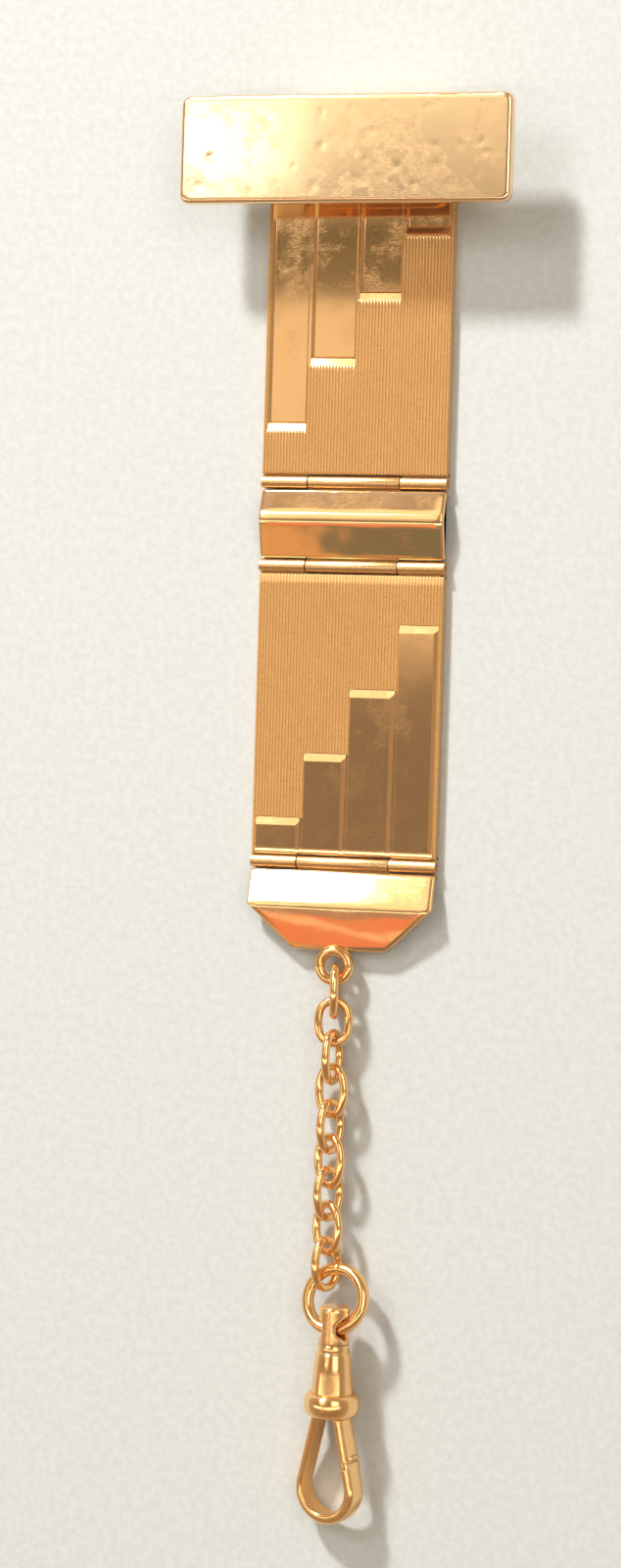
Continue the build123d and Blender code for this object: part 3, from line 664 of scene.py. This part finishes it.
def bar_front():
    """The bar's front: a slightly domed shell with rounded corners and small dents."""
    low, high = node_box("clip_bar_front")
    centre = (low + high) / 2
    half_x, half_y = (high[0] - low[0]) / 2, (high[1] - low[1]) / 2
    corner, edge, wall = 0.9, 0.42, 0.3
    ends = np.array([0, 0.015, 0.05, 0.1, 0.17, 0.25, 0.34, edge, 0.6, corner])

    def lay(half):
        inside = np.linspace(-half + corner, half - corner, int((half - corner) / 0.13))[1:-1]
        return np.concatenate([-half + ends, inside, (half - ends)[::-1]])

    xs, ys = lay(half_x), lay(half_y)
    gx, gy = np.meshgrid(xs, ys, indexing="xy")
    px, py = gx.copy(), gy.copy()
    u = np.clip((np.abs(gx) - half_x + corner) / corner, 0, 1)
    v = np.clip((np.abs(gy) - half_y + corner) / corner, 0, 1)
    in_corner = (u > 0) & (v > 0)
    px = np.where(in_corner, np.sign(gx) * (half_x - corner + corner * u * np.sqrt(1 - v * v / 2)), px)
    py = np.where(in_corner, np.sign(gy) * (half_y - corner + corner * v * np.sqrt(1 - u * u / 2)), py)
    qx, qy = np.abs(px) - half_x + corner, np.abs(py) - half_y + corner
    outside = np.hypot(np.maximum(qx, 0), np.maximum(qy, 0)) + np.minimum(np.maximum(qx, qy), 0)
    inset = corner - outside
    z = high[2] - 0.10 * (px / half_x) ** 2 - 0.006 * (py / half_y) ** 2
    z += 0.003 * waves(px, py, 8, 5.0, 14.0)
    for _ in range(DENTS):
        dx, dy = rng.uniform(-half_x + 1, half_x - 1), rng.uniform(-half_y + 0.6, half_y - 0.6)
        size, depth = rng.uniform(0.10, 0.40), rng.uniform(0.003, 0.010)
        z -= depth * np.exp(-((px - dx) ** 2 + (py - dy) ** 2) / size ** 2)
    z = np.minimum(z, high[2] - 0.001) - edge_drop(inset, edge)
    rows, columns = z.shape
    points = np.stack([px.ravel() + centre[0], py.ravel() + centre[1], z.ravel()], 1).tolist()
    faces = grid_faces(rows, columns)
    rim = [(0, c) for c in range(columns)] + [(r, columns - 1) for r in range(1, rows)]
    rim += [(rows - 1, c) for c in range(columns - 2, -1, -1)] + [(r, 0) for r in range(rows - 2, 0, -1)]
    last = [r * columns + c for r, c in rim]
    outline = np.array([(px[r, c], py[r, c]) for r, c in rim])
    shrink = np.array([(half_x - wall) / half_x, (half_y - wall) / half_y])
    pulled_in = outline * (1 - 0.06 / np.array([half_x, half_y]))
    for loop, level in ((outline, low[2] + 0.12), (pulled_in, low[2]),
                        (outline * shrink, low[2]), (outline * shrink, high[2] - wall - 0.15)):
        start = len(points)
        points += [(a + centre[0], b + centre[1], level) for a, b in loop]
        ring = list(range(start, start + len(loop)))
        for i in range(len(ring)):
            j = (i + 1) % len(ring)
            faces.append([last[i], ring[i], ring[j], last[j]])
        last = ring
    faces.append(last)
    add_piece("bar_front_domed", points, faces, "clip", "bar_gold", ("clip_bar_front",), sharp=50)


bar_front()


# ------------------------------------------------------------------ wire: links and rings
WIRE = 0.8
LINKS = 9
LINK_WIDTH = 3.65
LINK_OVAL = (5.3, 1.2)                  # length, end radius
ROUNDER_LINK, ROUNDER_OVAL = 2, (4.75, 1.35)


def node_points(node):
    """A CAD node's vertices in millimetres."""
    mesh = frame["nodes"][node].data
    co = np.empty(len(mesh.vertices) * 3)
    mesh.vertices.foreach_get("co", co)
    return co.reshape(-1, 3) / MM


def flat_frame(node):
    """Centre, long axis and plane normal of a flat wire shape that lies along Y."""
    co = node_points(node)
    low, high = co.min(0), co.max(0)
    centre = (low + high) / 2
    normal = np.linalg.eigh(np.cov((co - centre).T))[1][:, 0]
    long = np.array([0.0, 1.0, 0.0])
    long = long - normal * (long @ normal)
    return centre, long / np.linalg.norm(long), normal


def tube(path, normal, radii, sides=22, closed=True):
    """A wire along a flat path. radii has one value per point."""
    count = len(path)
    if closed:
        tangent = np.roll(path, -1, 0) - np.roll(path, 1, 0)
    else:
        tangent = np.gradient(path, axis=0)
    tangent /= np.linalg.norm(tangent, axis=1)[:, None]
    out = np.cross(tangent, normal)
    angle = np.linspace(0, 2 * pi, sides, endpoint=False)
    points = []
    for p, o, r in zip(path, out, radii):
        for a in angle:
            points.append(p + o * r * cos(a) + normal * r * sin(a))
    faces = []
    for i in range(count if closed else count - 1):
        j = (i + 1) % count
        for k in range(sides):
            n = (k + 1) % sides
            faces.append([i * sides + k, i * sides + n, j * sides + n, j * sides + k])
    if not closed:
        faces.append(list(range(sides))[::-1])
        faces.append([(count - 1) * sides + k for k in range(sides)])
    return points, faces


def oval(length, end_radius, count=112):
    """Centre line of a link: four tangent arcs, evenly stepped, as (across, along) points."""
    a, b = (length - WIRE) / 2, (LINK_WIDTH - WIRE) / 2
    side = (a * a + b * b - 2 * a * end_radius) / (2 * (b - end_radius))
    turn = atan2(a - end_radius, side - b)
    arcs = (((b - side, 0), side, -turn, turn),
            ((0, a - end_radius), end_radius, turn, pi - turn),
            ((side - b, 0), side, pi - turn, pi + turn),
            ((0, end_radius - a), end_radius, pi + turn, 2 * pi - turn))
    fine = []
    for centre, radius, start, stop in arcs:
        for t in np.linspace(start, stop, 200, endpoint=False):
            fine.append((centre[0] + radius * cos(t), centre[1] + radius * sin(t)))
    looped = np.array(fine + fine[:1])
    gone = np.concatenate([[0], np.cumsum(np.linalg.norm(np.diff(looped, axis=0), axis=1))])
    marks = np.linspace(0, gone[-1], count, endpoint=False)
    return np.stack([np.interp(marks, gone, looped[:, 0]), np.interp(marks, gone, looped[:, 1])], 1)


for number in range(1, LINKS + 1):
    node = f"chain_link_{number:02d}"
    centre, long, normal = flat_frame(node)
    side = np.cross(long, normal)
    line = oval(*(ROUNDER_OVAL if number == ROUNDER_LINK else LINK_OVAL))
    path = centre + line[:, :1] * side + line[:, 1:] * long
    turn = np.arange(len(line)) / len(line)
    seam = rng.choice([0.0, 0.5]) + rng.uniform(-0.03, 0.03)
    away = np.abs((turn - seam + 0.5) % 1 - 0.5)
    radii = WIRE / 2 * (1 - 0.012 + 0.010 * np.sin(2 * pi * (2 * turn + rng.uniform())))
    radii += 0.012 * np.exp(-((away - 0.012) / 0.006) ** 2) - 0.016 * np.exp(-(away / 0.004) ** 2)
    add_piece(f"wire_link_{number:02d}", *tube(path, normal, radii), f"link_{number:02d}", "link_gold", (node,))

RINGS = (                               # node, name, body, outer size, wire, whether its ends stand open
    ("end_ring", "soldered_end_ring", "cap", 3.8, 0.95, False),
    ("jump_ring", "butted_jump_ring", "ring", 6.9, 1.15, True),
)
for node, name, body, outer_size, wire, seamed in RINGS:
    centre, long, normal = flat_frame(node)
    if normal[2] < 0:
        normal = -normal
    side = np.cross(long, normal)
    radius = (outer_size - wire) / 2
    gap = 0.02 / radius if seamed else 0.0
    turn = np.linspace(gap, 2 * pi - gap, 161, endpoint=seamed)
    if not seamed:
        turn = turn[:-1]
    start = pi / 2 if seamed else radians(115)
    path = centre + radius * (np.cos(turn + start)[:, None] * side + np.sin(turn + start)[:, None] * long)
    radii = wire / 2 * (1 - 0.006 + 0.004 * np.sin(3 * turn))
    if seamed:
        radii -= 0.03 * np.exp(-(np.minimum(turn - gap, 2 * pi - gap - turn) / 0.015) ** 2)
    else:
        radii -= 0.025 * np.exp(-(np.minimum(turn, 2 * pi - turn) / 0.02) ** 2)
    add_piece(name, *tube(path, normal, radii, 26, not seamed), body, "link_gold", (node,))


# ------------------------------------------------------------------ swivel's turned pieces
turn_axis = np.array(joints["swivel_turn"]["axis"], float)
turn_axis /= np.linalg.norm(turn_axis)
barrel_top = place("swivel_turn")


def turned(name, profile, replaced, sides=120):
    """A closed (radius, depth) profile turned about the swivel's axis.

    Depth runs down from the barrel's top.
    """
    u = np.cross(turn_axis, (0.0, 0.0, 1.0))
    u /= np.linalg.norm(u)
    v = np.cross(turn_axis, u)
    angle = np.linspace(0, 2 * pi, sides, endpoint=False)
    points = []
    for radius, depth in profile:
        wobble = radius * (1 + 0.002 * np.sin(3 * angle + depth))
        spokes = np.cos(angle)[:, None] * u + np.sin(angle)[:, None] * v
        points += (barrel_top - turn_axis * depth + wobble[:, None] * spokes).tolist()
    count = len(profile)
    faces = []
    for i in range(count):
        j = (i + 1) % count
        for k in range(sides):
            n = (k + 1) % sides
            faces.append([i * sides + k, j * sides + k, j * sides + n, i * sides + n])
    add_piece(name, points, faces, "hook", "swivel_gold", replaced, sharp=40)


BARREL, COLLAR = 4.65, 2.1              # lengths
COLLAR_R, COLLAR_ROUND = 2.62, 0.55     # its radius, and how deep its rounding is
STEM_BORE, INNER = 0.87, 1.41           # radii of the hole for the stem and of the hollow below it
STEM_WALL = 0.8
turned("turned_barrel", [(STEM_BORE, 0.0), (1.38, 0.0), (1.45, 0.02), (1.49, 0.08), (1.49, 0.58), (1.47, 0.66),
                         (1.44, 0.71), (1.46, 0.75), (1.56, 0.80), (1.61, 0.88), (1.82, 2.7), (2.01, BARREL),
                         (INNER, BARREL), (INNER, STEM_WALL), (STEM_BORE, STEM_WALL)], ("swivel_barrel",))
bulge = [(2.03, BARREL)]
for step in range(25):
    lean = pi * (step / 24 - 0.5)
    bulge.append((COLLAR_R - COLLAR_ROUND + COLLAR_ROUND * cos(lean) ** 0.8,
                  BARREL + COLLAR / 2 + (COLLAR / 2) * sin(lean)))
turned("turned_collar", bulge + [(INNER, BARREL + COLLAR), (INNER, BARREL)], ("swivel_collar",))


# ------------------------------------------------------------------ swivel's hook and gate
hook_y = turn_axis
hook_z = -np.array(joints["gate_open"]["axis"], float)
hook_z /= np.linalg.norm(hook_z)
hook_x = np.cross(hook_y, hook_z)
hook_zero = barrel_top - hook_y * (BARREL + COLLAR)
BOW, DROP = 3.18, 7.1                   # bow's outer radius, and its centre below the root
ROOT_HALF = 1.65                        # outline's half width at the root
STOCK, DEPTH = 0.85, 2.2                # bar's thickness in the hook's plane and across it
SHIFT = np.array([-0.12, 0.12])         # the opening lies off centre
GATE_END, LAP = 4.1, 0.5                # gate's lower end, and how far it laps over the hook's tip
FIT, TOP_GAP = 0.03, 0.12               # gaps at the lap and above the gate
ROOT_R, ROOT_HEIGHT = 1.4, 2.9          # root plug
CHEEK_U, CHEEK_W = -0.5, 0.55           # slot for the tongue: its closed side and its half width
TONGUE_W, PIVOT_R, NUB_R, NUB_W = 0.5, 0.3, 0.2, 0.65
LEAN = atan2(DROP, ROOT_HALF) - np.arccos(BOW / sqrt(ROOT_HALF ** 2 + DROP ** 2))


def hook_point(u, v, w):
    """A point from the hook's own axes: across, up, and out of its plane."""
    return hook_zero + u * hook_x + v * hook_y + w * hook_z


def bow_line(first, last):
    """(point, outward normal) down the bow's outline, from a height on the right side.

    It ends at the height last, or runs round to the left side's top if last is None.
    """
    normal = np.array([cos(LEAN), sin(LEAN)])
    run = np.array([-sin(LEAN), cos(LEAN)])
    root = np.array([ROOT_HALF, 0.0])
    tangent = BOW * normal + np.array([0.0, -DROP])
    stops = []
    low = tangent[1] if last is None else last
    for v in np.arange(first, low, -0.3).tolist() + [low]:
        stops.append((root + run * (v / run[1]), normal))
    if last is not None:
        return stops
    for angle in np.linspace(LEAN, -pi - LEAN, 61)[1:-1]:
        n = np.array([cos(angle), sin(angle)])
        stops.append((BOW * n + np.array([0.0, -DROP]), n))
    mirror = np.array([-1.0, 1.0])
    for v in np.linspace(tangent[1], 0.3, 26):
        stops.append(((root + run * (v / run[1])) * mirror, normal * mirror))
    return stops


CORNER_POINTS = 8


def bow_sweep(stops, low_share=0.0, high_share=1.0, outer_round=0.42, inner_round=0.24):
    """Rounded bar along the bow; the shares cut its thickness from the inside (0) to the outside (1)."""
    points = []
    for outer_point, n in stops:
        inner_point = outer_point - STOCK * n + SHIFT
        across = outer_point - inner_point
        thick = np.linalg.norm(across)
        across = across / thick
        q0 = low_share * thick + (FIT if low_share > 0 else 0.0)
        q1 = high_share * thick - (FIT if high_share < 1 else 0.0)
        ro, ri = min(outer_round, 0.55 * (q1 - q0)), min(inner_round, 0.4 * (q1 - q0))
        corners = ((q1 - ro, DEPTH / 2 - ro, ro, 0), (q0 + ri, DEPTH / 2 - ri, ri, pi / 2),
                   (q0 + ri, ri - DEPTH / 2, ri, pi), (q1 - ro, ro - DEPTH / 2, ro, 3 * pi / 2))
        for cq, cw, r, start in corners:
            for a in start + np.linspace(0, pi / 2, CORNER_POINTS):
                u, v = inner_point + across * (cq + r * cos(a))
                points.append(hook_point(u, v, cw + r * sin(a)))
    ring = 4 * CORNER_POINTS
    faces = []
    for i in range(len(stops) - 1):
        for k in range(ring):
            n = (k + 1) % ring
            faces.append([i * ring + k, i * ring + n, (i + 1) * ring + n, (i + 1) * ring + k])
    faces.append(list(range(ring))[::-1])
    faces.append([(len(stops) - 1) * ring + k for k in range(ring)])
    return points, faces


def prism_faces(count):
    """Faces between two like loops of points, with a cap on each."""
    faces = [[k, (k + 1) % count, count + (k + 1) % count, count + k] for k in range(count)]
    return faces + [list(range(count))[::-1], [count + k for k in range(count)]]


def slab(outline, half):
    """A flat plate in the hook's plane from a (u, v) outline."""
    points = [hook_point(u, v, w) for w in (-half, half) for u, v in outline]
    return points, prism_faces(len(outline))


def holed_slab(outline, hole, left, right, half_w):
    """A plate with a round hole; left and right are the outline's places where its faces are split."""
    n_out, n_in = len(outline), len(hole)
    flat = list(outline) + list(hole)
    size = len(flat)
    points = [hook_point(u, v, w) for w in (-half_w, half_w) for u, v in flat]
    faces = []
    for k in range(n_out):
        j = (k + 1) % n_out
        faces.append([k, j, size + j, size + k])
    for k in range(n_in):
        j = (k + 1) % n_in
        faces.append([n_out + j, n_out + k, size + n_out + k, size + n_out + j])
    half = n_in // 2
    upper = [(right + k) % n_out for k in range((left - right) % n_out + 1)]
    lower = [(left + k) % n_out for k in range((right - left) % n_out + 1)]
    upper += [n_out + k for k in range(half, -1, -1)]
    lower += [n_out + k % n_in for k in range(n_in, half - 1, -1)]
    for loop in (upper, lower):
        faces.append(loop[::-1])
        faces.append([size + k for k in loop])
    return points, faces


def root_part(low_u, high_u, cheek=0):
    """Upright piece of the root plug between two u values, cut from its round section.

    cheek is +1 or -1 for the part above or below the slot, and 0 for the whole width.
    """
    angles = np.linspace(np.arccos(high_u / ROOT_R), np.arccos(low_u / ROOT_R), 12)
    upper = [(ROOT_R * cos(a), ROOT_R * sin(a)) for a in angles]
    lower = [(u, -w) for u, w in upper[::-1]]
    if cheek > 0:
        section = [(u, max(w, CHEEK_W)) for u, w in upper] + [(low_u, CHEEK_W)]
    elif cheek < 0:
        section = [(u, min(w, -CHEEK_W)) for u, w in lower] + [(low_u, -CHEEK_W)]
    else:
        section = upper + lower
    points = [hook_point(u, v, w) for v in (0.0, ROOT_HEIGHT) for u, w in section]
    return points, prism_faces(len(section))


hook_parts = [bow_sweep(bow_line(-GATE_END - LAP - FIT, None)),
              bow_sweep(bow_line(-GATE_END - FIT, -GATE_END - LAP - FIT), 0.5, 1.0, 0.26, 0.05),
              root_part(-ROOT_R, CHEEK_U), root_part(CHEEK_U, ROOT_R, 1), root_part(CHEEK_U, ROOT_R, -1)]
add_piece("rounded_hook", *merge(hook_parts), "hook", "swivel_gold", ("swivel_hook",), sharp=40)



def circle(u, v, radius, count):
    """Points round a circle in the hook's plane."""
    return [(u + radius * cos(a), v + radius * sin(a)) for a in np.linspace(0, 2 * pi, count, endpoint=False)]


TONGUE = [(0.72, -1.1), (1.05, -0.6), (0.95, 0.2), (0.85, 1.15), (0.15, 1.6), (0.15, 2.5), (-0.3, 2.5),
          (-0.3, 1.3), (0.1, 0.6), (0.35, -0.6)]
nub_drop = GATE_END - 0.4
nub_u = ROOT_HALF + (BOW - ROOT_HALF) * nub_drop / DROP + 0.1
gate_parts = [bow_sweep(bow_line(-TOP_GAP, -GATE_END)),
              bow_sweep(bow_line(-GATE_END, -GATE_END - LAP), 0.0, 0.5, 0.05, 0.2),
              holed_slab(TONGUE, circle(0.5, 0.9, PIVOT_R, 24), 7, 3, TONGUE_W),
              slab(circle(nub_u, -nub_drop, NUB_R, 20), NUB_W)]
add_piece("rounded_gate", *merge(gate_parts), "gate", "swivel_gold", ("gate_lever",), sharp=40)


# ------------------------------------------------------------------ floor
paper = bpy.data.materials.new("pale_floor")
paper.use_nodes = True
p = Tree(paper.node_tree)
paper_shader = p.nodes["Principled BSDF"]
where = p.add("ShaderNodeTexCoord").outputs["Object"]
fibre = p.add("ShaderNodeTexNoise",
              {"Vector": where, "Scale": 1400.0, "Detail": 3.0, "Roughness": 0.6}).outputs[0]
tint = p.mix(p.ramp(fibre, 0.3, 0.7), (0.52, 0.555, 0.565), (0.57, 0.605, 0.615))
p.links.new(tint, paper_shader.inputs["Base Color"])
paper_shader.inputs["Roughness"].default_value = 0.85
rough_paper = p.add("ShaderNodeBump", {"Strength": 0.25, "Distance": 0.0001, "Height": fibre}).outputs[0]
p.links.new(rough_paper, paper_shader.inputs["Normal"])
FLOOR_REACH, FLOOR_GAP = 3.0, 0.00002
corners = [(-FLOOR_REACH, -FLOOR_REACH, 0), (FLOOR_REACH, -FLOOR_REACH, 0),
           (FLOOR_REACH, FLOOR_REACH, 0), (-FLOOR_REACH, FLOOR_REACH, 0)]
floor_mesh = bpy.data.meshes.new("floor")
floor_mesh.from_pydata(corners, [], [(0, 1, 2, 3)])
floor_mesh.materials.append(paper)
floor = bpy.data.objects.new("floor", floor_mesh)
floor.location.z = -FLOOR_GAP
bpy.context.scene.collection.objects.link(floor)

bpy.context.scene.view_settings.view_transform = "Standard"
